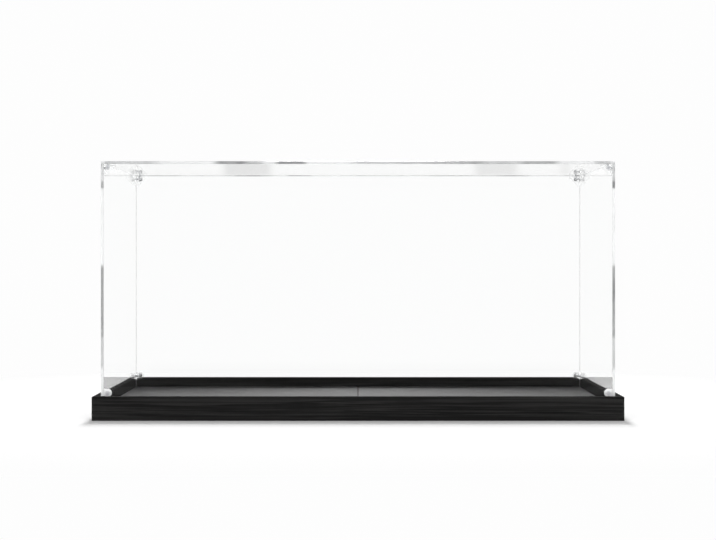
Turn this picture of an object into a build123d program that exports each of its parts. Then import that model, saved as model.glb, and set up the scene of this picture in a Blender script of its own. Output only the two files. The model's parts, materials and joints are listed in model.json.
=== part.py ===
from build123d import *
import os

# Acrylic display case: a clear hood of five screwed panels, standing in a black tray of four mitred rails.
# Millimetres. X runs along the case's length, Y from its front to its back and Z up.
# The origin lies under the middle of the tray, on the surface that the case stands on.

# Tray
tray_length = 665.0
tray_depth = 260.0
rail_height = 30.0
rail_thickness = 9.0
rail_edge_round = 0.6
floor_drop = 13.0
board_thickness = 5.0
board_clearance = 0.1
groove_depth = 4.0
seam_gap = 0.2
seam_chamfer = 0.5

# Batten under the seam of the floor
batten_width = 40.0
batten_end_clearance = 0.2
batten_chamfer = 1.0
batten_screw_end = 30.0
batten_screw_edge = 10.0

# Steel angle brackets under the floor
bracket_leg = 25.0
bracket_width = 9.0
bracket_thickness = 1.5
bracket_bend_radius = 2.5
bracket_end_chamfer = 2.0
bracket_screw_reach = 15.0

# Hood
case_height = 325.0
panel_thickness = 3.0
hood_clearance = 0.5

# Moulded connectors: the upper ones have three plates, the lower ones two
plate_thickness = 2.0
plate_tip = 3.5
plate_overhang = 9.8
inner_fillet = 1.2
tip_round = 2.0
boss_radius = 3.3
boss_cap = 0.8
lug_radius = 5.0
lower_screw_rise = 3.5

# Countersunk screws: the hood's machine screws and the tray's wood screws. They are small and there are
# many of them, so they and their holes are turned with few sides, and the radii reach the sides' middles.
screw_sides = 12
screw_radius = 1.5
screw_clearance = 0.05
screw_tip_clearance = 0.3
screw_recess_width = 0.8
screw_recess_depth = 1.1
hood_screw_head_radius = 2.8
hood_screw_bite = 3.0
hood_screw_web = 0.7
wood_screw_head_radius = 3.0
wood_screw_sink = 0.3
rail_bite = 6.0
board_bite = 3.5

# Worked out from the sizes above
floor_z = rail_height - floor_drop
board_underside = floor_z - board_thickness
inner_x = tray_length / 2 - rail_thickness
inner_y = tray_depth / 2 - rail_thickness
batten_length = 2 * (inner_y - batten_end_clearance)
hood_x = inner_x - hood_clearance
hood_y = inner_y - hood_clearance
wall_top = case_height - panel_thickness
wall_height = wall_top - floor_z
corner_x = hood_x - panel_thickness
corner_y = hood_y - panel_thickness
screw_inset = hood_screw_bite + screw_radius + hood_screw_web
plate_leg = screw_inset + plate_overhang
boss_height = hood_screw_bite + screw_tip_clearance + boss_cap
screw_x = corner_x - screw_inset
screw_y = corner_y - screw_inset
lower_screw_z = rail_height + lower_screw_rise
upper_screw_z = wall_top - screw_inset

LOW = (Align.MIN, Align.MIN)
MIDDLE_LOW = (Align.CENTER, Align.CENTER, Align.MIN)
MIDDLE_HIGH = (Align.CENTER, Align.CENTER, Align.MAX)


# Screws and their holes. A seat is a plane in the middle of a head's face, with its Z out of the surface.


def round_section(radius):
    """A screw's section at one height."""
    return RegularPolygon(radius, screw_sides, major_radius=False)


def screw_body(length, radius, head_radius):
    """A countersunk screw's outer form, its head's face at 0 and its tip at -length."""
    cone = head_radius - radius
    head = loft([round_section(head_radius), Pos(0, 0, -cone) * round_section(radius)])
    return head + extrude(Pos(0, 0, -length) * round_section(radius), length - cone)


def screw(grip, bite, head_radius):
    """A countersunk screw: `grip` long in the piece that it holds and `bite` long in the next."""
    return screw_body(grip + bite, screw_radius, head_radius)


def cross_recess(head_radius):
    """What the driver's cross takes out of a screw's head."""
    slot = Box(head_radius, screw_recess_width, screw_recess_depth, align=MIDDLE_HIGH)
    return slot + Rot(0, 0, 90) * slot


def screw_hole(grip, bite, head_radius, sink=0.0):
    """What a screw's hole takes away: the screw with its clearance, and `sink` over its head."""
    head_radius = head_radius + screw_clearance
    hole = screw_body(grip + bite + screw_tip_clearance, screw_radius + screw_clearance, head_radius)
    if sink:
        hole += extrude(round_section(head_radius), sink)
    return hole


def placed(seats, piece):
    """A copy of the piece in each seat."""
    return [seat * piece for seat in seats]


def front_seats():
    """The four screws of the front panel."""
    heights = (lower_screw_z, upper_screw_z)
    return [Plane((x, -hood_y, z), z_dir=(0, -1, 0)) for x in (-screw_x, screw_x) for z in heights]


def left_seats():
    """The four screws of the left panel."""
    heights = (lower_screw_z, upper_screw_z)
    return [Plane((-hood_x, y, z), z_dir=(-1, 0, 0)) for y in (-screw_y, screw_y) for z in heights]


def top_seats():
    """The four screws of the top panel."""
    ends = (-screw_y, screw_y)
    return [Plane((x, y, case_height), z_dir=(0, 0, 1)) for x in (-screw_x, screw_x) for y in ends]


def bracket_seats():
    """The two screws of the front left bracket: one into the front rail, one into the left rail."""
    z = board_underside / 2
    along_x = (-inner_x + bracket_screw_reach, -inner_y + bracket_thickness, z)
    along_y = (-inner_x + bracket_thickness, -inner_y + bracket_screw_reach, z)
    return [Plane(along_x, z_dir=(0, 1, 0)), Plane(along_y, z_dir=(1, 0, 0))]


def batten_seats():
    """The six screws up through the batten, three into each board."""
    x = batten_width / 2 - batten_screw_edge
    y = batten_length / 2 - batten_screw_end
    face = wood_screw_sink
    return [Plane((side, end, face), z_dir=(0, 0, -1)) for side in (-x, x) for end in (-y, 0, y)]


hood_hole = screw_hole(panel_thickness, hood_screw_bite, hood_screw_head_radius)
hood_screw = screw(panel_thickness, hood_screw_bite, hood_screw_head_radius)
hood_screw -= cross_recess(hood_screw_head_radius)
bracket_hole = screw_hole(bracket_thickness, rail_bite, wood_screw_head_radius)
bracket_screw = screw(bracket_thickness, rail_bite, wood_screw_head_radius)
batten_grip = board_underside - wood_screw_sink
batten_hole = screw_hole(batten_grip, board_bite, wood_screw_head_radius, wood_screw_sink)
batten_screw = screw(batten_grip, board_bite, wood_screw_head_radius)

front_screws = placed(front_seats(), hood_screw)
left_screws = placed(left_seats(), hood_screw)
front_holes = placed(front_seats(), hood_hole)
left_holes = placed(left_seats(), hood_hole)
top_holes = placed(top_seats(), hood_hole)
bracket_holes = placed(bracket_seats(), bracket_hole)
batten_holes = placed(batten_seats(), batten_hole)


# Tray


def rail_section():
    """A rail's section, from its outer face inwards and up: rounded top edges and the floor's groove."""
    section = Rectangle(rail_thickness, rail_height, align=LOW)
    section = fillet(section.vertices().group_by(Axis.Y)[-1], rail_edge_round)
    groove = Rectangle(groove_depth, board_thickness + board_clearance, align=LOW)
    return section - Pos(rail_thickness - groove_depth, board_underside) * groove


def front_rail():
    """The front rail, mitred at both ends, with a screw hole for the bracket at each end."""
    start = Plane((-tray_length / 2, -tray_depth / 2, 0), x_dir=(0, 1, 0), z_dir=(1, 0, 0))
    rail = extrude(start * rail_section(), tray_length)
    for side in (-1, 1):
        mitre = Plane((side * tray_length / 2, -tray_depth / 2, 0), z_dir=(-side, -1, 0))
        rail = split(rail, bisect_by=mitre, keep=Keep.TOP)
    return rail - bracket_holes - [mirror(hole, about=Plane.YZ) for hole in bracket_holes]


def left_rail():
    """The left rail, mitred at both ends, with a screw hole for the bracket at each end."""
    start = Plane((-tray_length / 2, tray_depth / 2, 0), x_dir=(1, 0, 0), z_dir=(0, -1, 0))
    rail = extrude(start * rail_section(), tray_depth)
    for end in (-1, 1):
        mitre = Plane((-tray_length / 2, end * tray_depth / 2, 0), z_dir=(-1, -end, 0))
        rail = split(rail, bisect_by=mitre, keep=Keep.TOP)
    return rail - bracket_holes - [mirror(hole, about=Plane.XZ) for hole in bracket_holes]


def left_floor_board():
    """The floor's left half: three edges in the grooves, the fourth chamfered along the seam."""
    rim = rail_thickness - groove_depth + board_clearance
    length = tray_length / 2 - rim - seam_gap / 2
    aligned = (Align.MAX, Align.CENTER, Align.MAX)
    board = Box(length, tray_depth - 2 * rim, board_thickness, align=aligned)
    seam_edge = board.edges().filter_by(Axis.Y).group_by(Axis.Z)[-1].sort_by(Axis.X)[-1]
    return Pos(-seam_gap / 2, 0, floor_z) * chamfer(seam_edge, seam_chamfer) - batten_holes


def centre_batten():
    """The strip under the seam, from the table up to the boards."""
    batten = Box(batten_width, batten_length, board_underside, align=MIDDLE_LOW)
    lower_edges = batten.edges().filter_by(Axis.Y).group_by(Axis.Z)[0]
    return chamfer(lower_edges, batten_chamfer) - batten_holes


def front_left_bracket():
    """A bent steel strip in the tray's front left corner, with a countersunk hole in each leg."""
    angle = Rectangle(bracket_leg, bracket_leg, align=LOW)
    angle -= Pos(bracket_thickness, bracket_thickness) * Rectangle(bracket_leg, bracket_leg, align=LOW)
    bends = angle.vertices().sort_by(lambda corner: corner.X + corner.Y)
    angle = fillet(bends[0], bracket_bend_radius)
    inner_bend = angle.vertices().sort_by_distance((bracket_thickness, bracket_thickness))[0]
    angle = fillet(inner_bend, bracket_bend_radius - bracket_thickness)
    bracket = extrude(angle, bracket_width)
    for axis, across in ((Axis.X, Axis.Y), (Axis.Y, Axis.X)):
        end_edges = bracket.edges().filter_by(across).group_by(axis)[-1]
        bracket = chamfer(end_edges, bracket_end_chamfer)
    corner = Pos(-inner_x, -inner_y, (board_underside - bracket_width) / 2)
    return corner * bracket - bracket_holes


# Hood panels


def front_panel():
    """The front sheet, as long as the hood, with its four countersunk holes."""
    aligned = (Align.CENTER, Align.MIN, Align.MIN)
    sheet = Box(2 * hood_x, panel_thickness, wall_height, align=aligned)
    return Pos(0, -hood_y, floor_z) * sheet - front_holes


def left_panel():
    """The left sheet, between the front and the back ones, with its four countersunk holes."""
    aligned = (Align.MIN, Align.CENTER, Align.MIN)
    sheet = Box(panel_thickness, 2 * corner_y, wall_height, align=aligned)
    return Pos(-hood_x, 0, floor_z) * sheet - left_holes


def top_panel():
    """The top sheet, over the edges of the four walls, with its four countersunk holes."""
    sheet = Box(2 * hood_x, 2 * hood_y, panel_thickness, align=MIDDLE_LOW)
    return Pos(0, 0, wall_top) * sheet - top_holes


# Connectors. Each is built in a corner at the origin that opens towards +X, +Y and +Z.


def boss(face, along, across):
    """A screw's boss on a plate that lies on the given face."""
    return face * Pos(along, across) * Cylinder(boss_radius, boss_height, align=MIDDLE_LOW)


def inner_corners(body):
    """The edges where the plates meet on their inner side."""
    def on_inner_side(edge):
        middle = edge.center()
        offsets = [abs(value - plate_thickness) < 1e-4 for value in (middle.X, middle.Y, middle.Z)]
        return sum(offsets) >= 2
    return [edge for edge in body.edges() if on_inner_side(edge)]


def three_way_connector():
    """Three triangular plates on the corner's faces, with blunt tips and a screw boss on each."""
    tip = plate_tip
    outline = Polyline(
        (0, 0), (plate_leg, 0), (plate_leg, tip), (tip, plate_leg), (0, plate_leg), close=True
    )
    plate = make_face(outline)
    shoulders = plate.vertices().sort_by(lambda corner: corner.X * corner.Y)[-2:]
    plate = fillet(shoulders, tip_round)
    faces = (Plane.XY, Plane.YZ, Plane.ZX)
    body = Part() + [extrude(face * plate, plate_thickness) for face in faces]
    body = fillet(inner_corners(body), inner_fillet)
    return body + [boss(face, screw_inset, screw_inset) for face in faces]


def two_way_connector():
    """Two upright plates with rounded ends, and a screw boss on each."""
    end = screw_inset
    outline = Polyline((end, lug_radius), (0, lug_radius), (0, -lug_radius), (end, -lug_radius))
    outline += ThreePointArc((end, -lug_radius), (end + lug_radius, 0), (end, lug_radius))
    plate = make_face(outline)
    front_face = Plane((0, 0, 0), x_dir=(1, 0, 0), z_dir=(0, 1, 0))
    side_face = Plane((0, 0, 0), x_dir=(0, 1, 0), z_dir=(1, 0, 0))
    faces = (front_face, side_face)
    body = Part() + [extrude(face * plate, plate_thickness) for face in faces]
    body = fillet(inner_corners(body), inner_fillet)
    return body + [boss(face, screw_inset, 0) for face in faces]


def top_connector():
    """The front left upper connector, in its corner under the top panel."""
    corner = Pos(-corner_x, -corner_y, wall_top)
    return corner * mirror(three_way_connector(), about=Plane.XY) - front_holes - left_holes - top_holes


def lower_connector():
    """The front left lower connector, its screws just above the tray's rails."""
    corner = Pos(-corner_x, -corner_y, lower_screw_z)
    return corner * two_way_connector() - front_holes - left_holes


# The whole case: what stands in one corner or at one end is mirrored to the others

corners = {
    "front_left": [],
    "front_right": [Plane.YZ],
    "back_left": [Plane.XZ],
    "back_right": [Plane.YZ, Plane.XZ],
}


def mirrored(piece, planes):
    """The piece, mirrored about each plane in turn."""
    for plane in planes:
        piece = mirror(piece, about=plane)
    return piece


def in_each_corner(name, piece):
    """The front left piece and its three mirrored copies, by name."""
    return {f"{name}_{corner}": mirrored(piece, planes) for corner, planes in corners.items()}


def group(solids):
    """Separate solids kept together."""
    return Compound(solids)


def opposite(solids, plane):
    """The solids, mirrored about a plane."""
    return [mirror(solid, about=plane) for solid in solids]


front, left = front_rail(), left_rail()
board = left_floor_board()
front_sheet, left_sheet = front_panel(), left_panel()
corner_screws = placed(bracket_seats(), bracket_screw)

parts = {
    "front_rail": front,
    "back_rail": mirror(front, about=Plane.XZ),
    "left_rail": left,
    "right_rail": mirror(left, about=Plane.YZ),
    "left_floor_board": board,
    "right_floor_board": mirror(board, about=Plane.YZ),
    "centre_batten": centre_batten(),
    "batten_screws": group(placed(batten_seats(), batten_screw)),
    **in_each_corner("corner_bracket", front_left_bracket()),
    "bracket_screws": group(
        [mirrored(piece, planes) for planes in corners.values() for piece in corner_screws]
    ),
    "front_panel": front_sheet,
    "back_panel": mirror(front_sheet, about=Plane.XZ),
    "left_panel": left_sheet,
    "right_panel": mirror(left_sheet, about=Plane.YZ),
    "top_panel": top_panel(),
    **in_each_corner("top_connector", top_connector()),
    **in_each_corner("lower_connector", lower_connector()),
    "front_panel_screws": group(front_screws),
    "back_panel_screws": group(opposite(front_screws, Plane.XZ)),
    "left_panel_screws": group(left_screws),
    "right_panel_screws": group(opposite(left_screws, Plane.YZ)),
    "top_panel_screws": group(placed(top_seats(), hood_screw)),
}

os.makedirs("parts", exist_ok=True)
for name, piece in parts.items():
    export_step(piece, f"parts/{name}.step")
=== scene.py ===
"""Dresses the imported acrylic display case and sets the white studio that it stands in.

The tray keeps its packed rails, boards, batten and brackets, and gets its woods and its steel
here. The hood's clear sheets, its corner connectors and all the screws are modelled anew, each in
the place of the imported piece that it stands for, with the polished edges, moulded rounds, threads
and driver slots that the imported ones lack.

Lengths are in metres. X runs along the case, Y from its front to its back and Z up.
"""

import json
import logging
import math
from dataclasses import dataclass, field
from enum import Enum
from functools import reduce
from typing import Any, Callable, Mapping, Optional, Sequence, Union

import bmesh
import bpy
from mathutils import Matrix, Vector

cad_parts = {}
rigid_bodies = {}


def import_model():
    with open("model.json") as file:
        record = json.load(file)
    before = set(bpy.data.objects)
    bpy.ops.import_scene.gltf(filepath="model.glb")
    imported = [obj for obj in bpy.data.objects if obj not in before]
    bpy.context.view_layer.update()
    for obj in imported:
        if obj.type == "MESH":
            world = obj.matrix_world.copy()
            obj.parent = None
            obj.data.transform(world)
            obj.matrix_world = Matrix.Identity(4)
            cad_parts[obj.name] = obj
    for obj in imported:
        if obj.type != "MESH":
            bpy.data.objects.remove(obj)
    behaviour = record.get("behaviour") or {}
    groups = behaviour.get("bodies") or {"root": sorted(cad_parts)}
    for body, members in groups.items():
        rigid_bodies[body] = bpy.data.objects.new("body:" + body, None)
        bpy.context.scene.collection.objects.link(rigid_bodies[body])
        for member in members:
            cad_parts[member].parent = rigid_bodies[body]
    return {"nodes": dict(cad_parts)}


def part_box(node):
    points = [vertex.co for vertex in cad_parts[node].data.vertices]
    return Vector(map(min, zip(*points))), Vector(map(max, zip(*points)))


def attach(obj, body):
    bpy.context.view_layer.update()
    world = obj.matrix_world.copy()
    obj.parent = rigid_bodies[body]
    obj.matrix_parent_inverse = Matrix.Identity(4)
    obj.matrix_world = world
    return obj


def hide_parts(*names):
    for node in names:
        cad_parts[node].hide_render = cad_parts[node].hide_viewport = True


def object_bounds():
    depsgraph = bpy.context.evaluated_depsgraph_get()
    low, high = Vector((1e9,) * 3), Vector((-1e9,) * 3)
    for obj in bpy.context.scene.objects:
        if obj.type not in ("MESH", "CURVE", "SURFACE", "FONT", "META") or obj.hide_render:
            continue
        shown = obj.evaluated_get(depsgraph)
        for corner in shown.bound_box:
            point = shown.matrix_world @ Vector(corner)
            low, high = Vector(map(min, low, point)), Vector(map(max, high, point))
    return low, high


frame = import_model()
cad_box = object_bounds()

log = logging.getLogger("display_case")

Colour = tuple[float, float, float]
Triple = tuple[float, float, float]
Test = Callable[[Any], bool]
MM = 0.001
NEAR = 0.01 * MM
SAME = 0.004 * MM
EYE_RAYS = ("Is Camera Ray", "Is Glossy Ray", "Is Transmission Ray")
LAMP_RAYS = ("Is Shadow Ray", "Is Diffuse Ray")


# Shader maths


@dataclass(frozen=True)
class Tap:
    """An output socket of a node, whose arithmetic adds Math nodes to its tree."""

    mixer: "Mixer"
    socket: Optional[bpy.types.NodeSocket]

    def maths(self, operation: str, *values: "Value") -> "Tap":
        """The result of a Math node with these values in its sockets."""
        return self.mixer.node("Math", {"operation": operation}, dict(enumerate(values)))

    def __add__(self, other: "Value") -> "Tap":
        """This plus the other."""
        return self.maths("ADD", self, other)

    def __radd__(self, other: "Value") -> "Tap":
        """The other plus this."""
        return self.maths("ADD", other, self)

    def __sub__(self, other: "Value") -> "Tap":
        """This less the other."""
        return self.maths("SUBTRACT", self, other)

    def __rsub__(self, other: "Value") -> "Tap":
        """The other less this."""
        return self.maths("SUBTRACT", other, self)

    def __mul__(self, other: "Value") -> "Tap":
        """This times the other."""
        return self.maths("MULTIPLY", self, other)

    def __rmul__(self, other: "Value") -> "Tap":
        """The other times this."""
        return self.maths("MULTIPLY", other, self)

    def __abs__(self) -> "Tap":
        """This without its sign."""
        return self.maths("ABSOLUTE", self)

    def root(self) -> "Tap":
        """The square root of this."""
        return self.maths("SQRT", self)

    def or_more(self, other: "Value") -> "Tap":
        """The larger of this and the other."""
        return self.maths("MAXIMUM", self, other)

    def soft_step(self, start: float, end: float) -> "Tap":
        """Rises smoothly from 0 at the start to 1 at the end."""
        ends = {1: start, 2: end, 3: 0.0, 4: 1.0}
        return self.mixer.node("MapRange", {"interpolation_type": "SMOOTHSTEP"}, {0: self, **ends})

    def band(self, middle: float, half_width: float, softness: float) -> "Tap":
        """1 around a value and 0 outside, with edges twice the softness wide at the half width."""
        return 1 - abs(self - middle).soft_step(half_width - softness, half_width + softness)


Value = Union[Tap, float, Sequence[float]]


class Mixer:
    """A node tree while its nodes are being put in."""

    def __init__(self, tree: bpy.types.NodeTree) -> None:
        """Empties the tree."""
        self.tree = tree
        tree.nodes.clear()

    def node(
        self,
        kind: str,
        settings: Optional[Mapping[str, Any]] = None,
        sockets: Optional[Mapping[Union[int, str], Value]] = None,
        output: Union[int, str] = 0,
    ) -> Tap:
        """Adds any node.

        Args:
            kind: The node's type, without ShaderNode.
            settings: What is set on the node before its sockets.
            sockets: A value or a link for each named or numbered input.
            output: Which of its outputs is wanted.

        Returns:
            That output.
        """
        made = self.tree.nodes.new("ShaderNode" + kind)
        for name, value in (settings or {}).items():
            setattr(made, name, value)
        for name, value in (sockets or {}).items():
            if isinstance(value, Tap):
                self.tree.links.new(value.socket, made.inputs[name])
            else:
                made.inputs[name].default_value = value
        return Tap(self, made.outputs[output] if made.outputs else None)

    def place(self, scale: Triple = (1.0, 1.0, 1.0)) -> Tap:
        """Where a point is on the object, in metres, times a scale along each axis."""
        point = self.node("TexCoord", output="Object")
        return self.node("Mapping", {"vector_type": "POINT"}, {"Vector": point, "Scale": scale})

    def axes(self, point: Tap) -> tuple[Tap, ...]:
        """The X, Y and Z of a vector."""
        split = self.node("SeparateXYZ", sockets={0: point}).socket.node
        return tuple(Tap(self, output) for output in split.outputs)

    def noise(
        self, scale: Union[float, Triple], detail: float, rough: float, swirl: float = 0.0
    ) -> Tap:
        """Cloudy noise.

        Args:
            scale: How many blobs it has in a metre, alike along all axes or along each.
            detail: How many finer layers it has.
            rough: How strong the finer layers are.
            swirl: How far it is distorted.

        Returns:
            A value around 0.5.
        """
        point = self.place(scale if isinstance(scale, tuple) else (scale, scale, scale))
        look = {"Detail": detail, "Roughness": rough, "Distortion": swirl}
        return self.node("TexNoise", {"noise_dimensions": "3D"}, {"Vector": point, "Scale": 1.0, **look})

    def blend(self, share: Value, first: Colour, second: Colour) -> Tap:
        """A colour mixed with a share of another one."""
        sockets = {0: share, 6: (*first, 1.0), 7: (*second, 1.0)}
        return self.node("Mix", {"data_type": "RGBA"}, sockets, output=2)

    def mix(self, share: Value, first: Tap, second: Tap) -> Tap:
        """A shader mixed with a share of another one."""
        return self.node("MixShader", sockets={0: share, 1: first, 2: second})

    def bump(self, height: Tap, strength: float, depth: float) -> Tap:
        """A normal that follows a height, where a height of 1 is this deep."""
        return self.node("Bump", sockets={"Strength": strength, "Distance": depth, "Height": height})

    def surface(self, **sockets: Value) -> Tap:
        """A Principled surface, its inputs named with underscores for spaces."""
        return self.node("BsdfPrincipled", None, {k.replace("_", " "): v for k, v in sockets.items()})

    def clear(self, colour: Colour, bend: float, **sockets: Value) -> Tap:
        """Clear plastic with this refractive index."""
        return self.surface(Base_Color=(*colour, 1.0), IOR=bend, Transmission_Weight=1.0, **sockets)

    def grey(self, kind: str, level: float) -> Tap:
        """A plain shader of one grey, such as Emission."""
        return self.node(kind, None, {"Color": (level, level, level, 1.0)})

    def any_ray(self, *kinds: str) -> Tap:
        """1 for a ray of any of these kinds, which are Light Path's names for them."""
        return reduce(Tap.or_more, [self.node("LightPath", output=kind) for kind in kinds])

    def mirrored(self) -> Tap:
        """1 for a ray that a surface has mirrored on its way."""
        return self.node("LightPath", output="Glossy Depth").soft_step(0.4, 0.6)

    def open_to_lamps(self, shader: Tap) -> Tap:
        """A shader that lets the lamps' light straight through."""
        return self.mix(self.any_ray(*LAMP_RAYS), shader, self.node("BsdfTransparent"))


# Finishes


class Finish:
    """What a piece is made of. Each finish says what its surface is in mix."""

    name: str

    def mix(self, mixer: Mixer) -> Tap:
        """Puts the finish's nodes in.

        Args:
            mixer: The material's empty tree.

        Returns:
            The surface.
        """
        raise NotImplementedError

    def material(self) -> bpy.types.Material:
        """The finish as a material, made once.

        Returns:
            The material.
        """
        made = bpy.data.materials.get(self.name)
        if made is None:
            made = bpy.data.materials.new(self.name)
            made.use_nodes = True
            mixer = Mixer(made.node_tree)
            surface = self.mix(mixer)
            mixer.node("OutputMaterial", None, {"Surface": surface})
        return made


class Grain(Enum):
    """Which way a rail's grain runs."""

    ALONG_X = "x"
    ALONG_Y = "y"

    def stretch(self, along: float, across: float) -> Triple:
        """How often a pattern repeats in a metre, along the grain and across it."""
        return (along, across, across) if self is Grain.ALONG_X else (across, along, across)


@dataclass(frozen=True)
class StainedWood(Finish):
    """Rails of wood stained black, with the grain still showing in a low sheen."""

    grain: Grain
    dark: Colour = (0.0095, 0.0095, 0.0095)
    light: Colour = (0.028, 0.0275, 0.027)
    shine: float = 0.002
    ring_scale: tuple[float, float] = (5.0, 290.0)
    fibre_scale: tuple[float, float] = (14.0, 900.0)
    pore_scale: tuple[float, float] = (45.0, 1500.0)

    @property
    def name(self) -> str:
        """The material's name."""
        return f"stained_wood_along_{self.grain.value}"

    def mix(self, mixer: Mixer) -> Tap:
        """Year rings, fibres and pores, all drawn out along the grain.

        Args:
            mixer: The material's empty tree.

        Returns:
            The surface.
        """
        rings = mixer.noise(self.grain.stretch(*self.ring_scale), 4.0, 0.55, 1.2).soft_step(0.42, 0.64)
        fibres = mixer.noise(self.grain.stretch(*self.fibre_scale), 3.0, 0.6)
        pores = mixer.noise(self.grain.stretch(*self.pore_scale), 2.0, 0.5).soft_step(0.56, 0.72)
        figure = (rings * 0.75 + fibres.soft_step(0.3, 0.7) * 0.25) * (1 - pores * 0.5)
        return mixer.surface(
            Base_Color=mixer.blend(figure, self.dark, self.light),
            Roughness=0.48 + 0.14 * fibres,
            Specular_IOR_Level=self.shine,
            Normal=mixer.bump(figure - pores * 0.6, 0.35, 0.25 * MM),
        )


@dataclass(frozen=True)
class SatinBoard(Finish):
    """The floor's boards, black with a satin face, their edges eased where they meet at X = 0."""

    name: str = "satin_board"
    dark: Colour = (0.015, 0.015, 0.015)
    light: Colour = (0.021, 0.021, 0.0206)
    shine: float = 0.025
    eased: float = 0.6 * MM

    def mix(self, mixer: Mixer) -> Tap:
        """A fine tooth, a dark seam and faint clouds in a sheen that the sheets don't mirror.

        Args:
            mixer: The material's empty tree.

        Returns:
            The surface.
        """
        x, _, _ = mixer.axes(mixer.place())
        seam = 1 - abs(x).soft_step(0.0, 2 * self.eased)
        clouds = mixer.noise((9.0, 14.0, 9.0), 3.0, 0.5)
        tooth = mixer.noise(160.0, 1.0, 0.4)
        colour = mixer.blend(clouds * (1 - seam), self.dark, self.light)
        satin = mixer.surface(
            Base_Color=colour,
            Roughness=0.28 + 0.06 * clouds + 0.4 * seam,
            Specular_IOR_Level=self.shine,
            Normal=mixer.bump(tooth * 0.1 - seam, 0.5, 0.2 * MM),
        )
        matt = mixer.surface(Base_Color=colour, Roughness=0.9, Specular_IOR_Level=0.0)
        return mixer.mix(mixer.mirrored(), satin, matt)


@dataclass(frozen=True)
class RawBoard(Finish):
    """The batten's pressed fibre board."""

    name: str = "raw_board"
    dark: Colour = (0.20, 0.125, 0.07)
    light: Colour = (0.36, 0.245, 0.15)

    def mix(self, mixer: Mixer) -> Tap:
        """Flecks of fibre, matt.

        Args:
            mixer: The material's empty tree.

        Returns:
            The surface.
        """
        flecks = mixer.noise((420.0, 260.0, 420.0), 5.0, 0.7)
        clouds = mixer.noise(30.0, 2.0, 0.5)
        figure = (flecks * 0.75 + clouds * 0.25).soft_step(0.32, 0.68)
        return mixer.surface(
            Base_Color=mixer.blend(figure, self.dark, self.light),
            Roughness=0.82 + 0.1 * flecks,
            Specular_IOR_Level=0.3,
            Normal=mixer.bump(flecks, 0.3, 0.2 * MM),
        )


@dataclass(frozen=True)
class Steel(Finish):
    """Zinc-plated or polished steel."""

    name: str
    colour: Colour
    roughness: float
    streak: float
    dullness: float = 0.82

    def mix(self, mixer: Mixer) -> Tap:
        """Fine streaks in the roughness and clouds in the colour.

        Args:
            mixer: The material's empty tree.

        Returns:
            The surface.
        """
        streaks = mixer.noise((300.0, 300.0, 2600.0), 2.0, 0.5)
        clouds = mixer.noise(160.0, 3.0, 0.5)
        dull = tuple(self.dullness * part for part in self.colour)
        return mixer.surface(
            Base_Color=mixer.blend(clouds, dull, self.colour),
            Metallic=1.0,
            Roughness=self.roughness + self.streak * streaks,
            Normal=mixer.bump(streaks, 0.1, 0.02 * MM),
        )


@dataclass(frozen=True)
class ClearSheet(Finish):
    """The faces of the acrylic sheets, clear to the eye and open to the lamps."""

    name: str
    bend: float
    tint: Colour = (0.994, 0.996, 0.995)

    def mix(self, mixer: Mixer) -> Tap:
        """Clear plastic."""
        return mixer.open_to_lamps(mixer.clear(self.tint, self.bend, Roughness=0.0))


@dataclass(frozen=True)
class Length:
    """A soft length of painted dark reflection on a polished edge."""

    middle: float
    half: float
    softness: float
    depth: float


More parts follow.
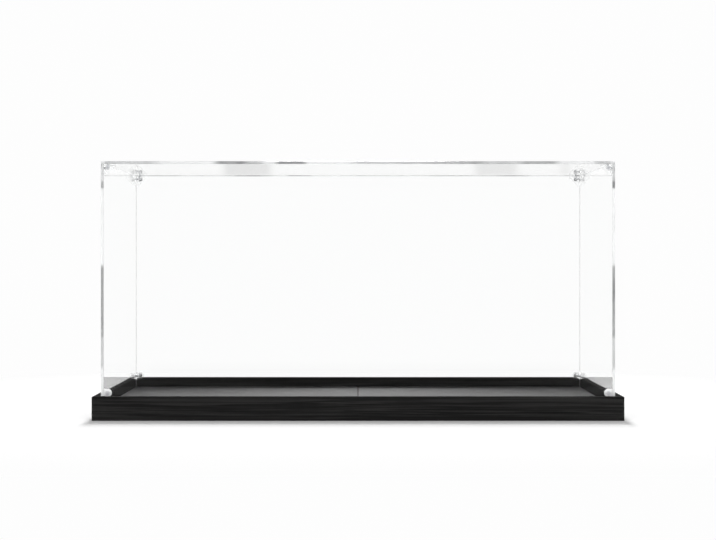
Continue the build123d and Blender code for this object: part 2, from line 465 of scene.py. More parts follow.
@dataclass(frozen=True)
class SheetEdge(Finish):
    """The sheets' polished edges: painted pale for gathered light, with painted dark reflections in long
    soft lengths.
    """

    name: str = "sheet_edge"
    # pale stands in for the light that the edges gather, shade is the painted dark of their reflections.
    pale: Colour = (0.96, 0.97, 0.97)
    shade: Colour = (0.10, 0.105, 0.11)
    # The share of the painted pale grey over the clear plastic.
    painted_light_share: float = 0.9
    bend: float = 1.49
    ends_x: float = 318.5 * MM
    end_y: float = 117.0 * MM
    # Painted shade on the back edges, upright and level, that draws their dark outline.
    back_upright_painted_shade: float = 0.7
    back_level_painted_shade: float = 0.3
    # Painted dark reflections on the upright edges, placed by height.
    upright: tuple[Length, ...] = (
        Length(312.0 * MM, 12.0 * MM, 2.0 * MM, 0.35),
        Length(295.5 * MM, 4.5 * MM, 2.0 * MM, 0.7),
        Length(149.0 * MM, 45.0 * MM, 4.0 * MM, 0.65),
        Length(84.0 * MM, 20.0 * MM, 5.0 * MM, 0.35),
    )
    # Painted dark reflections on the level edges, placed along X.
    level: tuple[Length, ...] = (
        Length(-290.0 * MM, 35.0 * MM, 12.0 * MM, 0.4),
        Length(-158.0 * MM, 18.0 * MM, 8.0 * MM, 0.35),
        Length(-150.0 * MM, 31.0 * MM, 6.0 * MM, 0.3),
        Length(-84.0 * MM, 18.0 * MM, 6.0 * MM, 0.65),
        Length(120.0 * MM, 128.0 * MM, 12.0 * MM, 0.3),
        Length(130.0 * MM, 25.0 * MM, 12.0 * MM, 0.2),
        Length(228.0 * MM, 22.0 * MM, 10.0 * MM, 0.25),
        Length(308.0 * MM, 10.0 * MM, 4.0 * MM, 0.4),
    )
    # The least painted shade on any level edge.
    least_level_painted_shade: float = 0.12

    @staticmethod
    def painted_darkness(along: Tap, lengths: Sequence[Length]) -> Tap:
        """How much painted shade the lengths put on an edge, 0 where it is pale."""
        return sum(along.band(one.middle, one.half, one.softness) * one.depth for one in lengths)

    def mix(self, mixer: Mixer) -> Tap:
        """Mostly painted grey and a little clear, the grey in painted lengths of light and shade.

        Args:
            mixer: The material's empty tree.

        Returns:
            The surface.
        """
        x, y, z = mixer.axes(mixer.place())
        at_end = abs(x).soft_step(self.ends_x - 0.5 * MM, self.ends_x + 0.5 * MM)
        # Painted shade: dark reflections by height on the upright edges and along X on the level ones.
        level = self.painted_darkness(x, self.level) + self.least_level_painted_shade
        dark = at_end * self.painted_darkness(z, self.upright) + (1 - at_end) * level
        dark = dark * abs(y).soft_step(self.end_y - MM, self.end_y)
        # The back edges are painted darker still, a painted dark outline.
        back = at_end * self.back_upright_painted_shade + (1 - at_end) * self.back_level_painted_shade
        dark = dark.or_more(y.soft_step(self.end_y - MM, self.end_y) * back)
        # The painted shade wanders softly along the edges.
        dark = dark * (0.5 + mixer.noise(30.0, 2.0, 0.5))
        # The pale grey paints the light gathered in the edges; the dark shade paints their reflections.
        grey = mixer.surface(Base_Color=mixer.blend(dark, self.pale, self.shade), Roughness=0.12)
        clear = mixer.clear(self.pale, self.bend, Roughness=0.0)
        return mixer.open_to_lamps(mixer.mix(self.painted_light_share, clear, grey))


@dataclass(frozen=True)
class MouldedPlastic(Finish):
    """The connectors' clear plastic, a little milky where it is thick."""

    name: str
    milkiness: float
    body: Colour = (0.97, 0.975, 0.975)
    frost: float = 0.02
    bend: float = 1.15
    depth: float = 4.0 * MM

    def mix(self, mixer: Mixer) -> Tap:
        """Clear plastic with flow marks, mixed with a milky white.

        Args:
            mixer: The material's empty tree.

        Returns:
            The surface.
        """
        flow = mixer.noise(210.0, 2.0, 0.5, 0.8)
        ripple = mixer.bump(flow, 0.05, 0.1 * MM)
        clear = mixer.clear(self.body, self.bend, Roughness=self.frost, Normal=ripple)
        milky = mixer.surface(
            Base_Color=(*self.body, 1.0), Roughness=0.14 + 0.1 * flow, Normal=ripple,
            Subsurface_Weight=1.0, Subsurface_Radius=(1.0, 1.0, 1.0), Subsurface_Scale=self.depth,
        )
        return mixer.open_to_lamps(mixer.mix(self.milkiness, clear, milky))


# Tools of the bench. Each acts on one piece, which it leaves lying with its place in its mesh.


class Bench:
    """Modelling by hand: primitives, edit mode and modifiers."""

    @staticmethod
    def hold(*pieces: bpy.types.Object) -> None:
        """Selects these pieces and nothing else.

        Args:
            pieces: The pieces, the first of which becomes the active one.
        """
        bpy.ops.object.select_all(action="DESELECT")
        for piece in pieces:
            piece.select_set(True)
        bpy.context.view_layer.objects.active = pieces[0]

    @staticmethod
    def add(name: str, operator: Callable[..., Any], **settings: Any) -> bpy.types.Object:
        """Adds a primitive and puts its place into its mesh.

        Args:
            name: The piece's name.
            operator: What adds it.
            settings: The operator's settings.

        Returns:
            The piece.
        """
        bpy.ops.object.select_all(action="DESELECT")
        operator(**settings)
        piece = bpy.context.object
        piece.name = name
        piece.data.name = name
        Bench.hold(piece)
        bpy.ops.object.transform_apply(location=True, rotation=True, scale=True)
        return piece

    @staticmethod
    def block(name: str, low: Vector, high: Vector) -> bpy.types.Object:
        """A block between two corners, to be shaped."""
        cube = bpy.ops.mesh.primitive_cube_add
        return Bench.add(name, cube, size=1.0, location=(low + high) / 2, scale=high - low)

    @staticmethod
    def edit(piece: bpy.types.Object, mode: str, wanted: Optional[Test] = None) -> None:
        """Opens a piece in edit mode with all of it selected, or what a test picks.

        Args:
            piece: The piece.
            mode: What is selected: VERT, EDGE or FACE.
            wanted: Says of a point, edge or face whether it is selected.
        """
        Bench.hold(piece)
        bpy.ops.object.mode_set(mode="EDIT")
        bpy.ops.mesh.select_mode(type=mode)
        bpy.ops.mesh.select_all(action="DESELECT" if wanted else "SELECT")
        if wanted:
            mesh = bmesh.from_edit_mesh(piece.data)
            for element in {"VERT": mesh.verts, "EDGE": mesh.edges, "FACE": mesh.faces}[mode]:
                if wanted(element):
                    element.select_set(True)
            bmesh.update_edit_mesh(piece.data)

    @staticmethod
    def close() -> None:
        """Leaves edit mode."""
        bpy.ops.object.mode_set(mode="OBJECT")

    @staticmethod
    def bevel(
        piece: bpy.types.Object, width: float, segments: int, wanted: Optional[Test] = None
    ) -> None:
        """Rounds every edge, or those that a test picks.

        Args:
            piece: The piece.
            width: How far the round reaches.
            segments: How many faces it has.
            wanted: Says of an edge whether it is rounded.
        """
        Bench.edit(piece, "EDGE", wanted)
        bpy.ops.mesh.bevel(offset=width, segments=segments, affect="EDGES")
        Bench.close()

    @staticmethod
    def cut_off(piece: bpy.types.Object, point: Vector, normal: Vector) -> None:
        """Cuts off what lies beyond a plane and closes the cut.

        Args:
            piece: The piece.
            point: A point on the plane.
            normal: Towards what is cut off.
        """
        Bench.edit(piece, "FACE")
        bpy.ops.mesh.bisect(plane_co=point, plane_no=normal, use_fill=True, clear_outer=True)
        Bench.close()

    @staticmethod
    def finish_with(piece: bpy.types.Object, kind: str, **settings: Any) -> None:
        """Puts a modifier on a piece and applies it.

        Args:
            piece: The piece.
            kind: The modifier's type.
            settings: What is set on it.
        """
        Bench.hold(piece)
        modifier = piece.modifiers.new(kind.title(), kind)
        for name, value in settings.items():
            setattr(modifier, name, value)
        bpy.ops.object.modifier_apply(modifier=modifier.name)

    @staticmethod
    def take_away(piece: bpy.types.Object, cutter: bpy.types.Object) -> None:
        """Cuts one piece with another, which stays as it is."""
        Bench.finish_with(piece, "BOOLEAN", operation="DIFFERENCE", solver="EXACT", object=cutter)

    @staticmethod
    def fuse(piece: bpy.types.Object, other: bpy.types.Object) -> None:
        """Fuses another piece into this one and removes it."""
        Bench.finish_with(piece, "BOOLEAN", operation="UNION", solver="EXACT", object=other)
        Bench.put_away(other)

    @staticmethod
    def clean(piece: bpy.types.Object) -> None:
        """Merges points that lie on each other and takes out faces without an area.

        Args:
            piece: The piece.
        """
        Bench.edit(piece, "VERT")
        bpy.ops.mesh.remove_doubles(threshold=SAME)
        bpy.ops.mesh.dissolve_degenerate(threshold=SAME)
        Bench.close()

    @staticmethod
    def fill_hollow(piece: bpy.types.Object) -> None:
        """Takes out whatever isn't joined to the point that lies farthest out.

        Args:
            piece: The piece.
        """
        reach = max(vertex.co.length for vertex in piece.data.vertices)
        Bench.edit(piece, "VERT", lambda vertex: vertex.co.length >= reach)
        bpy.ops.mesh.select_linked()
        bpy.ops.mesh.select_all(action="INVERT")
        bpy.ops.mesh.delete(type="VERT")
        Bench.close()

    @staticmethod
    def smooth(piece: bpy.types.Object, sharpest: float = 35.0) -> None:
        """Shades a piece smoothly with its flats kept flat.

        Args:
            piece: The piece.
            sharpest: The angle in degrees past which an edge stays sharp.
        """
        Bench.hold(piece)
        bpy.ops.object.shade_smooth_by_angle(angle=math.radians(sharpest))
        Bench.finish_with(piece, "WEIGHTED_NORMAL", keep_sharp=True, weight=100)

    @staticmethod
    def copy_at(piece: bpy.types.Object, name: str, place: Matrix) -> bpy.types.Object:
        """A copy of a piece with its own mesh, somewhere else.

        Args:
            piece: The piece.
            name: The copy's name.
            place: Where it goes. A mirroring one has its faces turned the right way again.

        Returns:
            The copy.
        """
        copy = piece.copy()
        copy.data = piece.data.copy()
        copy.name = name
        bpy.context.scene.collection.objects.link(copy)
        copy.data.transform(place)
        if place.determinant() < 0:
            copy.data.flip_normals()
        return copy

    @staticmethod
    def join(name: str, pieces: Sequence[bpy.types.Object]) -> bpy.types.Object:
        """Makes several pieces one object.

        Args:
            name: Its name.
            pieces: The pieces, which are used up.

        Returns:
            The object.
        """
        Bench.hold(*pieces)
        bpy.ops.object.join()
        pieces[0].name = name
        pieces[0].data.name = name
        return pieces[0]

    @staticmethod
    def put_away(*pieces: bpy.types.Object) -> None:
        """Removes patterns and cutters that are no longer needed."""
        for piece in pieces:
            bpy.data.objects.remove(piece)


def report(piece: bpy.types.Object, note: str) -> None:
    """Logs a finished piece and what it is."""
    log.info("%s: %s, %d faces", piece.name, note, len(piece.data.polygons))


def hand_over(piece: bpy.types.Object, body: str, node: str, slot: str, note: str) -> None:
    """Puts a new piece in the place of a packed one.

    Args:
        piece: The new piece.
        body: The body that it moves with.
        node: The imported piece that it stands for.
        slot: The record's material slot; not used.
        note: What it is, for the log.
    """
    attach(piece, body)
    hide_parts(node)
    report(piece, note)


# Screws


@dataclass(frozen=True)
class CountersunkScrew:
    """A countersunk screw, its head's face at 0 and its tip at -length."""

    length: float
    head_radius: float
    shank_radius: float = 1.5 * MM
    core_radius: float = 1.2 * MM
    tip_share: float = 0.6
    pitch: float = 0.7 * MM
    rim: float = 0.15 * MM
    slot_width: float = 0.8 * MM
    slot_depth: float = 1.1 * MM
    slot_reach: float = 0.62
    slot_taper: float = 0.6
    hole_above: float = 0.5 * MM
    hole_beyond: float = 0.3 * MM
    sides: int = 32

    def turned(self, name: str, rings: Sequence[tuple[float, float]]) -> bpy.types.Object:
        """Draws a disc down through a profile, a ring at a time.

        Args:
            name: The piece's name.
            rings: The radius and the height of each ring, from the top down.

        Returns:
            The closed turned piece.
        """
        radius, height = rings[0]
        disc = {"vertices": self.sides, "radius": radius, "location": (0, 0, height)}
        piece = Bench.add(name, bpy.ops.mesh.primitive_circle_add, fill_type="NGON", **disc)
        Bench.edit(piece, "FACE")
        for new_radius, new_height in rings[1:]:
            step = (0, 0, new_height - height)
            bpy.ops.mesh.extrude_region_move(TRANSFORM_OT_translate={"value": step})
            factor = new_radius / radius
            bpy.ops.transform.resize(value=(factor, factor, 1.0), center_override=(0, 0, 0))
            radius, height = new_radius, new_height
        bpy.ops.mesh.select_all(action="SELECT")
        bpy.ops.mesh.normals_make_consistent(inside=False)
        Bench.close()
        return piece

    def profile(self) -> list[tuple[float, float]]:
        """The rim and the cone of the head, a threaded shank and a blunt tip.

        Returns:
            Their rings, from the top down.
        """
        neck = -(self.head_radius - self.shank_radius)
        rings = [(self.head_radius - self.rim, 0.0), (self.head_radius, -self.rim)]
        rings.append((self.shank_radius, neck - self.rim / 2))
        height = neck - self.pitch
        while height > -self.length + self.pitch:
            rings.append((self.core_radius, height))
            rings.append((self.shank_radius, height - self.pitch / 2))
            height -= self.pitch
        rings.append((self.core_radius, -self.length + self.pitch / 2))
        rings.append((self.core_radius * self.tip_share, -self.length))
        return rings

    def slot(self, along: int) -> bpy.types.Object:
        """What one arm of the cross in the head takes away, narrower at its foot.

        Args:
            along: 0 or 1 for an arm along X or Y.

        Returns:
            The cutter.
        """
        low = Vector((-self.slot_width / 2, -self.slot_width / 2, -self.slot_depth))
        low[along] = -self.slot_reach * self.head_radius
        slot = Bench.block("slot", low, Vector((-low.x, -low.y, self.rim)))
        Bench.edit(slot, "VERT", lambda corner: corner.co.z < 0)
        taper = (self.slot_taper, self.slot_taper, 1.0)
        bpy.ops.transform.resize(value=taper, center_override=(0, 0, 0))
        Bench.close()
        return slot

    def pattern(self) -> bpy.types.Object:
        """One finished screw, to be copied.

        Returns:
            The screw.
        """
        screw = self.turned("screw", self.profile())
        for along in (0, 1):
            slot = self.slot(along)
            Bench.take_away(screw, slot)
            Bench.put_away(slot)
        Bench.smooth(screw)
        return screw

    def hole(self, clearance: float) -> bpy.types.Object:
        """What the screw's hole takes away.

        Args:
            clearance: The room around the screw.

        Returns:
            The cutter.
        """
        head, shank = self.head_radius + clearance, self.shank_radius + clearance
        cone = [(head, self.hole_above), (head, -self.rim), (shank, -(head - shank) - self.rim / 2)]
        return self.turned("hole", [*cone, (shank, -self.length - self.hole_beyond)])


def seat(point: Vector, outwards: Triple) -> Matrix:
    """A screw's place, from the middle of its head's face and the way that the face looks."""
    turn = Vector(outwards).to_track_quat("Z", "Y").to_matrix().to_4x4()
    return Matrix.Translation(point) @ turn


def build_screws(
    pattern: bpy.types.Object, seats: Sequence[Matrix], steel: Steel, name: str, body: str, node: str
) -> None:
    """Puts a copy of a screw in each seat and hands the group over.

    Args:
        pattern: The screw.
        seats: Where the copies sit.
        steel: What they are made of, named as the record's slot is.
        name: The group's name.
        body: The body that it moves with.
        node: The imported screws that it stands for.
    """
    group = Bench.join(name, [Bench.copy_at(pattern, "screw_copy", spot) for spot in seats])
    group.data.materials.append(steel.material())
    hand_over(group, body, node, steel.name, f"{len(seats)} screws")


# The hood


class Side(Enum):
    """The sheets of the hood, by the way that their outer faces look."""

    FRONT = (0.0, -1.0, 0.0)
    BACK = (0.0, 1.0, 0.0)
    LEFT = (-1.0, 0.0, 0.0)
    RIGHT = (1.0, 0.0, 0.0)
    TOP = (0.0, 0.0, 1.0)

    @property
    def panel(self) -> str:
        """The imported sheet's name."""
        return f"{self.name.lower()}_panel"

    @property
    def outwards(self) -> Vector:
        """The way that the outer face looks."""
        return Vector(self.value)


@dataclass
class Hood:
    """The clear hood: five sheets on eight moulded connectors, held by twenty screws."""

    sheet: float = 3.0 * MM
    seam: float = 0.04 * MM
    edge_round: float = 0.5 * MM
    screw_inset: float = 5.2 * MM
    lower_screw_height: float = 33.5 * MM
    plate: float = 2.0 * MM
    plate_overhang: float = 9.8 * MM
    plate_tip: float = 3.5 * MM
    shoulder_round: float = 1.0 * MM
    lug_radius: float = 5.0 * MM
    lug_flat: float = 0.02 * MM
    boss_radius: float = 3.3 * MM
    boss_height: float = 4.1 * MM
    boss_sink: float = 0.2 * MM
    boss_round: float = 0.35 * MM
    boss_sides: int = 40
    moulded_round: float = 0.3 * MM
    moulded_angle: float = 40.0
    clearance: float = 0.05 * MM
    screw: CountersunkScrew = CountersunkScrew(length=6.0 * MM, head_radius=2.8 * MM)
    broad: ClearSheet = ClearSheet("clear_sheet_broad", 1.2)
    narrow: ClearSheet = ClearSheet("clear_sheet_narrow", 1.49)
    edge: SheetEdge = SheetEdge()
    upper_plastic: MouldedPlastic = MouldedPlastic("clear_plastic", 0.1)
    # The front lower connectors get this nearly white plastic and their identical back twins the clear
    # one: painted brightness against the black rails.
    lower_plastic: MouldedPlastic = MouldedPlastic("milky_plastic", 0.95)
    steel: Steel = Steel("hood_screw_steel", (0.40, 0.40, 0.41), 0.16, 0.1)
    cutters: dict[Side, list[bpy.types.Object]] = field(default_factory=dict)

    def __post_init__(self) -> None:
        """Takes the hood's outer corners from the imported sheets."""
        low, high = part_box("top_panel")
        self.half_x, self.half_y, self.top = high.x, high.y, high.z
        self.inner_x, self.inner_y = self.half_x - self.sheet, self.half_y - self.sheet
        self.screw_x, self.screw_y = self.inner_x - self.screw_inset, self.inner_y - self.screw_inset
        self.ceiling = self.top - self.sheet
        self.upper_screw_height = self.ceiling - self.screw_inset

    def seats(self, side: Side) -> list[Matrix]:
        """Where a sheet's four screws sit.

        Args:
            side: The sheet.

        Returns:
            Their places.
        """
        ends_x, ends_y = (-self.screw_x, self.screw_x), (-self.screw_y, self.screw_y)
        heights = (self.lower_screw_height, self.upper_screw_height)
        if side is Side.TOP:
            points = [(x, y, self.top) for x in ends_x for y in ends_y]
        elif side in (Side.FRONT, Side.BACK):
            points = [(x, self.half_y * side.outwards.y, z) for x in ends_x for z in heights]
        else:
            points = [(self.half_x * side.outwards.x, y, z) for y in ends_y for z in heights]
        return [seat(Vector(point), side.value) for point in points]

    def build_sheet(self, side: Side) -> bpy.types.Object:
        """A sheet with flame-polished edges and its countersunk holes.

        Args:
            side: Which sheet.

        Returns:
            The sheet.
        """
        low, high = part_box(side.panel)
        inset = Vector((self.seam,) * 3)
        sheet = Bench.block(f"clear_{side.panel}", low + inset, high - inset)
        Bench.bevel(sheet, self.edge_round, 2)
        for cutter in self.cutters[side]:
            Bench.take_away(sheet, cutter)
        self.dress_sheet(sheet, side, low, high)
        return sheet

    def dress_sheet(self, sheet: bpy.types.Object, side: Side, low: Vector, high: Vector) -> None:
        """Gives a sheet its clear faces and its polished edges.

        Args:
            sheet: The sheet.
            side: Which one it is.
            low: Its lowest corner.
            high: Its highest corner.
        """
        sheet.data.materials.clear()
        sheet.data.materials.append((self.broad if side.outwards.y else self.narrow).material())
        sheet.data.materials.append(self.edge.material())
        middle, half = (low + high) / 2, (high - low) / 2
        rim = self.edge_round + 2 * self.seam
        for face in sheet.data.polygons:
            reach = [half[i] - abs(face.center[i] - middle[i]) for i in range(3) if not side.value[i]]
            at_foot = face.center.z < low.z + rim and side is not Side.TOP
            lies_flat = abs(face.normal.dot(side.outwards)) >= 0.99
            face.material_index = int(min(reach) < rim and not at_foot and not lies_flat)
            face.use_smooth = False

    def crosses(self, edge: bmesh.types.BMEdge, axis: int) -> bool:
        """Whether an edge runs through the thickness of a connector's plate."""
        return abs(edge.verts[0].co[axis] - edge.verts[1].co[axis]) > self.plate / 2

    def build_plate(self, axis: int) -> bpy.types.Object:
        """A triangular plate on one face of the corner, its two blunt corners rounded.

        Args:
            axis: The axis that runs through its thickness.

        Returns:
            The plate.
        """
        others = [i for i in range(3) if i != axis]
        leg = self.screw_inset + self.plate_overhang
        high, point, normal = Vector((leg, leg, leg)), Vector((0, 0, 0)), Vector((1, 1, 1))
        high[axis], normal[axis] = self.plate, 0.0
        point[others[0]], point[others[1]] = leg, self.plate_tip
        plate = Bench.block("plate", Vector((0, 0, 0)), high)
        Bench.cut_off(plate, point, normal)

        def is_blunt(edge: bmesh.types.BMEdge) -> bool:
            """Whether an edge runs through the plate at a blunt corner."""
            spot = [edge.verts[0].co[i] for i in others]
            return self.crosses(edge, axis) and max(spot) > leg - NEAR and min(spot) > NEAR

        Bench.bevel(plate, self.shoulder_round, 4, is_blunt)
        return plate

    def build_lug(self, axis: int) -> bpy.types.Object:
        """An upright plate on one face of the corner, with a rounded end.

        Args:
            axis: The axis that runs through its thickness.

        Returns:
            The plate.
        """
        along = 1 - axis
        high = Vector((0, 0, self.lug_radius))
        high[axis] = self.plate
        high[along] = self.screw_inset + self.lug_radius
        lug = Bench.block("lug", Vector((0, 0, -self.lug_radius)), high)

        def is_at_end(edge: bmesh.types.BMEdge) -> bool:
            """Whether an edge runs through the plate at its far end."""
            return self.crosses(edge, axis) and edge.verts[0].co[along] > high[along] - NEAR

        Bench.bevel(lug, self.lug_radius - self.lug_flat, 12, is_at_end)
        return lug

    def build_boss(self, axis: int, point: Vector) -> bpy.types.Object:
        """A screw's boss with a rounded rim, its foot sunk into the plate that it stands on.

        Args:
            axis: The axis that it stands along.
            point: A point on the line through its middle.

        Returns:
            The boss.
        """
        foot, outwards = point.copy(), Vector((0, 0, 0))
        foot[axis] = self.plate - self.boss_sink
        outwards[axis] = 1.0
        height = self.boss_height - foot[axis]
        rod = {"vertices": self.boss_sides, "radius": self.boss_radius, "depth": height}
        middle = (0, 0, height / 2)
        boss = Bench.add("boss", bpy.ops.mesh.primitive_cylinder_add, location=middle, **rod)
        rim = height - NEAR
        Bench.bevel(boss, self.boss_round, 4, lambda e: min(e.verts[0].co.z, e.verts[1].co.z) > rim)
        boss.data.transform(seat(foot, tuple(outwards)))
        return boss

    def build_pattern(
        self, name: str, plates: Sequence[bpy.types.Object], middle: Vector
    ) -> bpy.types.Object:
        """A moulded connector before its holes, in a corner that opens to +X, +Y and +Z.

        Args:
            name: The pattern's name.
            plates: Its plates across X, Y and so on, which are used up.
            middle: Where the lines through its bosses meet.

        Returns:
            The pattern.
        """
        body = plates[0]
        bosses = [self.build_boss(axis, middle) for axis in range(len(plates))]
        for other in [*plates[1:], *bosses]:
            Bench.fuse(body, other)
        body.name = name
        Bench.finish_with(
            body, "BEVEL", width=self.moulded_round, segments=2, limit_method="ANGLE",
            angle_limit=math.radians(self.moulded_angle), use_clamp_overlap=True,
        )
        Bench.clean(body)
        Bench.fill_hollow(body)
        return body

    def build_connector(
        self, pattern: bpy.types.Object, name: str, place: Matrix, sides: Sequence[Side],
        plastic: MouldedPlastic,
    ) -> bpy.types.Object:
        """A connector in its corner, with its screws' holes.

        Args:
            pattern: The upper or the lower pattern.
            name: The connector's name.
            place: Where it goes.
            sides: The sheets that are screwed to it.
            plastic: What it is moulded of.

        Returns:
            The connector.
        """
        connector = Bench.copy_at(pattern, name, place)
        close_by = 3 * self.screw_inset
        for side in sides:
            for cutter, spot in zip(self.cutters[side], self.seats(side)):
                if (spot.translation - place.translation).length < close_by:
                    Bench.take_away(connector, cutter)
        Bench.clean(connector)
        connector.data.materials.clear()
        connector.data.materials.append(plastic.material())
        Bench.smooth(connector)
        return connector

    def build_connectors(self) -> None:
        """Makes the three-way connectors at the top and the two-way ones at the tray."""
        inset = self.screw_inset
        plates = [self.build_plate(axis) for axis in range(3)]
        upper = self.build_pattern("upper_pattern", plates, Vector((inset, inset, inset)))
        lugs = [self.build_lug(axis) for axis in range(2)]
        lower = self.build_pattern("lower_pattern", lugs, Vector((inset, inset, 0)))
        for x, x_name in ((-1, "left"), (1, "right")):
            for y, y_name in ((-1, "front"), (1, "back")):
                walls = [Side[y_name.upper()], Side[x_name.upper()]]
                # Painted brightness: the front lower connectors get the milky plastic, the identical
                # back ones the clear one.
                lower_plastic = self.lower_plastic if y_name == "front" else self.upper_plastic
                kinds = (
                    ("upper", "top", upper, self.ceiling, -1, [*walls, Side.TOP], self.upper_plastic),
                    ("lower", "lower", lower, self.lower_screw_height, 1, walls, lower_plastic),
                )
                for own, packed, pattern, height, z, sides, plastic in kinds:
                    corner = Matrix.Translation((x * self.inner_x, y * self.inner_y, height))
                    place = corner @ Matrix.Diagonal((-x, -y, z, 1))
                    name = f"{own}_corner_{y_name}_{x_name}"
                    made = self.build_connector(pattern, name, place, sides, plastic)
                    node = f"{packed}_connector_{y_name}_{x_name}"
                    hand_over(made, "hood", node, "connector_plastic", f"{len(sides)}-way connector")
        Bench.put_away(upper, lower)

    def build(self) -> None:
        """Makes every piece of the hood and hands it over."""
        hole, pattern = self.screw.hole(self.clearance), self.screw.pattern()
        for side in Side:
            self.cutters[side] = [Bench.copy_at(hole, "cutter", spot) for spot in self.seats(side)]
        for side in Side:
            hand_over(self.build_sheet(side), "hood", side.panel, "clear_acrylic", "clear sheet")
        self.build_connectors()
        for side in Side:
            name, node = f"{side.panel}_machine_screws", f"{side.panel}_screws"
            build_screws(pattern, self.seats(side), self.steel, name, "hood", node)
            Bench.put_away(*self.cutters[side])
        Bench.put_away(hole, pattern)


# The tray


@dataclass
class Tray:
    """The black tray: four mitred rails, a floor of two boards, batten, brackets and wood screws."""

    rails_x: tuple[str, ...] = ("front_rail", "back_rail")
    rails_y: tuple[str, ...] = ("left_rail", "right_rail")
    boards: tuple[str, ...] = ("left_floor_board", "right_floor_board")
    wood_x: StainedWood = StainedWood(Grain.ALONG_X)
    wood_y: StainedWood = StainedWood(Grain.ALONG_Y)
    board: SatinBoard = SatinBoard()
    raw: RawBoard = RawBoard()
    bracket_steel: Steel = Steel("bracket_steel", (0.56, 0.57, 0.58), 0.3, 0.12)
    screw_steel: Steel = Steel("wood_screw_steel", (0.6, 0.57, 0.48), 0.28, 0.12)
    screw_head: float = 3.0 * MM
    screw_pitch: float = 1.0 * MM
    bracket_screw: float = 7.5 * MM
    batten_screw: float = 15.2 * MM
    bracket_reach: float = 15.0 * MM
    bracket_thickness: float = 1.5 * MM
    batten_screw_edge: float = 10.0 * MM
    batten_screw_end: float = 30.0 * MM
    screw_sink: float = 0.3 * MM
    rail_thickness: float = 9.0 * MM

    def dress(self) -> None:
        """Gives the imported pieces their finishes."""
        brackets = [name for name in frame["nodes"] if name.startswith("corner_bracket")]
        finishes = [
            (self.rails_x, self.wood_x),
            (self.rails_y, self.wood_y),
            (self.boards, self.board),
            (("centre_batten",), self.raw),
            (brackets, self.bracket_steel),
        ]
        for names, finish in finishes:
            for name in names:
                piece = frame["nodes"][name]
                piece.data.materials.clear()
                piece.data.materials.append(finish.material())
                report(piece, finish.name)

    def bracket_seats(self) -> list[Matrix]:
        """Where the brackets' eight screws sit.

        Returns:
            Their places, two for each bracket.
        """
        low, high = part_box("front_rail")
        inner_x = high.x - self.rail_thickness
        inner_y = -low.y - self.rail_thickness
        bracket_low, bracket_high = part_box("corner_bracket_front_left")
        height = (bracket_low.z + bracket_high.z) / 2
        far, near = self.bracket_reach, self.bracket_thickness
        seats = []
        for x in (-1, 1):
            for y in (-1, 1):
                along_x = Vector((x * (inner_x - far), y * (inner_y - near), height))
                along_y = Vector((x * (inner_x - near), y * (inner_y - far), height))
                seats += [seat(along_x, (0, -y, 0)), seat(along_y, (-x, 0, 0))]
        return seats

    def batten_seats(self) -> list[Matrix]:
        """Where the batten's six screws sit.

        Returns:
            Their places.
        """
        _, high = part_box("centre_batten")
        x, y = high.x - self.batten_screw_edge, high.y - self.batten_screw_end
        points = [Vector((side, end, self.screw_sink)) for side in (-x, x) for end in (-y, 0, y)]
        return [seat(point, (0, 0, -1)) for point in points]

    def build(self) -> None:
        """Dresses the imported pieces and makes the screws."""
        self.dress()
        groups = (
            ("bracket", self.bracket_screw, self.bracket_seats()),
            ("batten", self.batten_screw, self.batten_seats()),
        )
        for held, length, seats in groups:
            screw = CountersunkScrew(length, self.screw_head, pitch=self.screw_pitch)
            pattern = screw.pattern()
            name = f"{held}_wood_screws"
            build_screws(pattern, seats, self.screw_steel, name, "base", f"{held}_screws")
            Bench.put_away(pattern)


# The studio


@dataclass(frozen=True)
class Flag:
    """A dark flag behind the set that only the glass sees, in degrees.

    With a depth below 0 it is a white card.
    """

    bearing: float
    half_width: float
    softness: float
    depth: float
    foot: float = 3.72
    foot_softness: float = 0.1
    head: float = 6.0
    head_softness: float = 0.5

    def shade(self, bearing: Tap, elevation: Tap) -> Tap:
        """How much the flag darkens a direction.

        Args:
            bearing: The direction's bearing.
            elevation: Its height over the horizon.

        Returns:
            The share of the white that it takes away.
        """
        rise = elevation.soft_step(self.foot - self.foot_softness, self.foot + self.foot_softness)
        end = elevation.soft_step(self.head - self.head_softness, self.head + self.head_softness)
        across = bearing.band(self.bearing, self.half_width, self.softness)
        return across * self.depth * (rise * (1 - end))


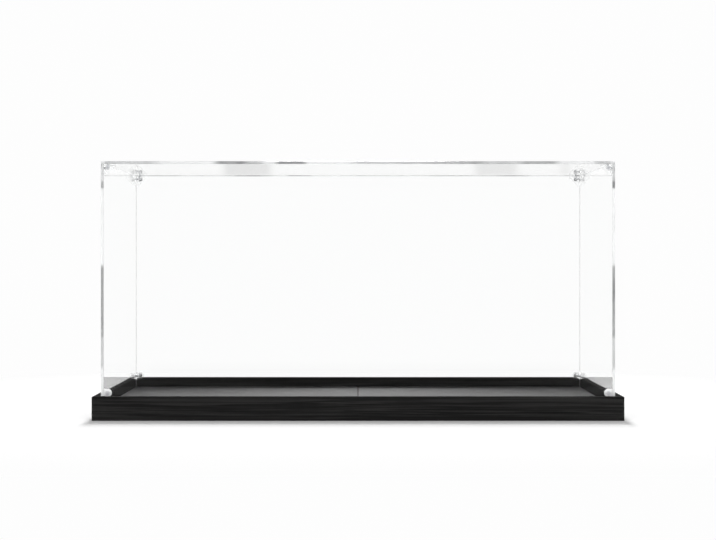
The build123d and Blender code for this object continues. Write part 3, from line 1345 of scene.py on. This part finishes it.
@dataclass(frozen=True)
class WhiteFloor(Finish):
    """The studio's floor: white, with the case's soft shadow, running out into the white round it."""

    name: str = "white_floor"
    white: float = 0.985
    paint: float = 0.95
    bounce: float = 0.8
    near: float = 0.05
    far: float = 0.4
    # A patch of floor in front of the case that shows black only in the sheets' mirror: a painted dark
    # reflection.
    painted_dark_reflection: float = 0.95
    painted_dark_middle_y: float = -0.57
    painted_dark_half_y: float = 0.24
    painted_dark_half_x: float = 0.36
    painted_dark_softness_y: float = 0.06
    painted_dark_softness_x: float = 0.08

    def mix(self, mixer: Mixer) -> Tap:
        """Painted white near the case, plain white far from it, and a painted dark reflection in the
        sheets' mirror.

        Args:
            mixer: The material's empty tree.

        Returns:
            The surface.
        """
        x, y, _ = mixer.axes(mixer.place())
        _, corner = cad_box
        beside, before = (abs(x) - corner.x).or_more(0.0), (abs(y) - corner.y).or_more(0.0)
        distance = (beside * beside + before * before).root()
        paint = mixer.grey("BsdfDiffuse", self.paint)
        lift = mixer.grey("Emission", self.white - self.paint)
        shaded = mixer.node("AddShader", None, {0: paint, 1: lift})
        plain = mixer.grey("Emission", self.white)
        seen = mixer.mix(distance.soft_step(self.near, self.far), shaded, plain)
        through = mixer.node("LightPath", output="Transmission Depth").soft_step(2.4, 2.6)
        # The patch is black only to rays that a sheet has mirrored: a painted dark reflection.
        room = y.band(self.painted_dark_middle_y, self.painted_dark_half_y, self.painted_dark_softness_y)
        room = room * x.band(0.0, self.painted_dark_half_x, self.painted_dark_softness_x)
        dark = mixer.mirrored() * (1 - through) * room * self.painted_dark_reflection
        seen = mixer.mix(dark, seen, mixer.grey("Emission", 0.0))
        return mixer.mix(mixer.any_ray(*EYE_RAYS), mixer.grey("BsdfDiffuse", self.bounce), seen)


@dataclass(frozen=True)
class Lamp:
    """A soft lamp, its sides in metres and its power in watts."""

    name: str
    place: Triple
    width: float
    height: float
    power: float


@dataclass
class Studio:
    """The camera, the lamps, the white world and the floor."""

    distance: float = 1.5616
    height: float = 0.2048
    lens: float = 62.907
    sensor: float = 36.0
    horizon_shift: float = -0.0184
    nearest: float = 0.01
    farthest: float = 100.0
    aim: Triple = (0.0, 0.0, 0.12)
    lamps: tuple[Lamp, ...] = (
        Lamp("back_lamp", (0.0, 2.6, 2.0), 0.7, 1.9, 122.0),
        Lamp("overhead_lamp", (0.0, 0.3, 1.9), 1.6, 1.6, 4.0),
        Lamp("left_lamp", (-1.2, -1.8, 0.5), 0.9, 0.9, 15.0),
        Lamp("right_lamp", (1.2, -1.8, 0.5), 0.9, 0.9, 15.0),
    )
    floor_size: float = 24.0
    world_white: float = 0.985
    world_light: float = 0.27
    floor: WhiteFloor = WhiteFloor()
    flags: tuple[Flag, ...] = (
        Flag(-5.05, 1.05, 0.25, 1.0),
        Flag(6.3, 0.95, 0.3, 0.86),
        Flag(9.4, 0.25, 0.2, 0.5),
        Flag(0.0, 13.0, 1.0, -0.11),
    )

    def build_camera(self) -> None:
        """A level camera in front of the case, as in the photograph."""
        low, _ = cad_box
        bpy.ops.object.select_all(action="DESELECT")
        place = (0.0, low.y - self.distance, self.height)
        bpy.ops.object.camera_add(location=place, rotation=(math.radians(90), 0, 0))
        camera = bpy.context.object
        camera.name = "camera"
        camera.data.lens = self.lens
        camera.data.sensor_width = self.sensor
        camera.data.shift_y = self.horizon_shift
        camera.data.clip_start = self.nearest
        camera.data.clip_end = self.farthest
        bpy.context.scene.camera = camera

    def build_floor(self) -> None:
        """The floor that the case stands on."""
        grid = {"x_subdivisions": 8, "y_subdivisions": 8, "size": self.floor_size}
        floor = Bench.add("studio_floor", bpy.ops.mesh.primitive_grid_add, location=(0, 0, 0), **grid)
        floor.data.materials.append(self.floor.material())

    def build_lamp(self, lamp: Lamp) -> None:
        """Hangs a lamp that looks at the case. Only one past the case's middle shows in its gloss.

        Args:
            lamp: What it is like.
        """
        bpy.ops.object.select_all(action="DESELECT")
        turn = (Vector(self.aim) - Vector(lamp.place)).to_track_quat("-Z", "Y").to_euler()
        bpy.ops.object.light_add(type="AREA", location=lamp.place, rotation=turn)
        light = bpy.context.object
        light.name = lamp.name
        light.data.shape = "RECTANGLE"
        light.data.size = lamp.width
        light.data.size_y = lamp.height
        light.data.energy = lamp.power
        light.visible_camera = False
        light.visible_transmission = False
        light.visible_glossy = lamp.place[1] > 0

    def build_world(self) -> None:
        """White all round to the eye, with flags that the glass alone sees, and an even light."""
        world = bpy.data.worlds.new("white_room")
        bpy.context.scene.world = world
        world.use_nodes = True
        mixer = Mixer(world.node_tree)
        x, y, z = mixer.axes(mixer.node("TexCoord", output="Object"))
        bearing = x.maths("ARCTAN2", x, y) * math.degrees(1)
        elevation = z.maths("ARCSINE", z) * math.degrees(1)
        shade = sum(flag.shade(bearing, elevation) for flag in self.flags)
        bright = self.world_white * (1 - shade * mixer.any_ray("Is Glossy Ray", "Is Transmission Ray"))
        seen, light = (
            mixer.node("Background", None, {"Color": (1.0, 1.0, 1.0, 1.0), "Strength": strength})
            for strength in (bright, self.world_light)
        )
        mixer.node("OutputWorld", None, {"Surface": mixer.mix(mixer.any_ray(*EYE_RAYS), light, seen)})

    def build(self) -> None:
        """Sets up the whole studio."""
        self.build_camera()
        self.build_floor()
        self.build_world()
        for lamp in self.lamps:
            self.build_lamp(lamp)
        bpy.context.scene.view_settings.view_transform = "Standard"


def main() -> None:
    """Builds the studio, the tray and the hood, in that order."""
    logging.basicConfig(level=logging.INFO, format="%(name)s %(message)s")
    Studio().build()
    Tray().build()
    Hood().build()


if __name__ == "__main__":
    main()
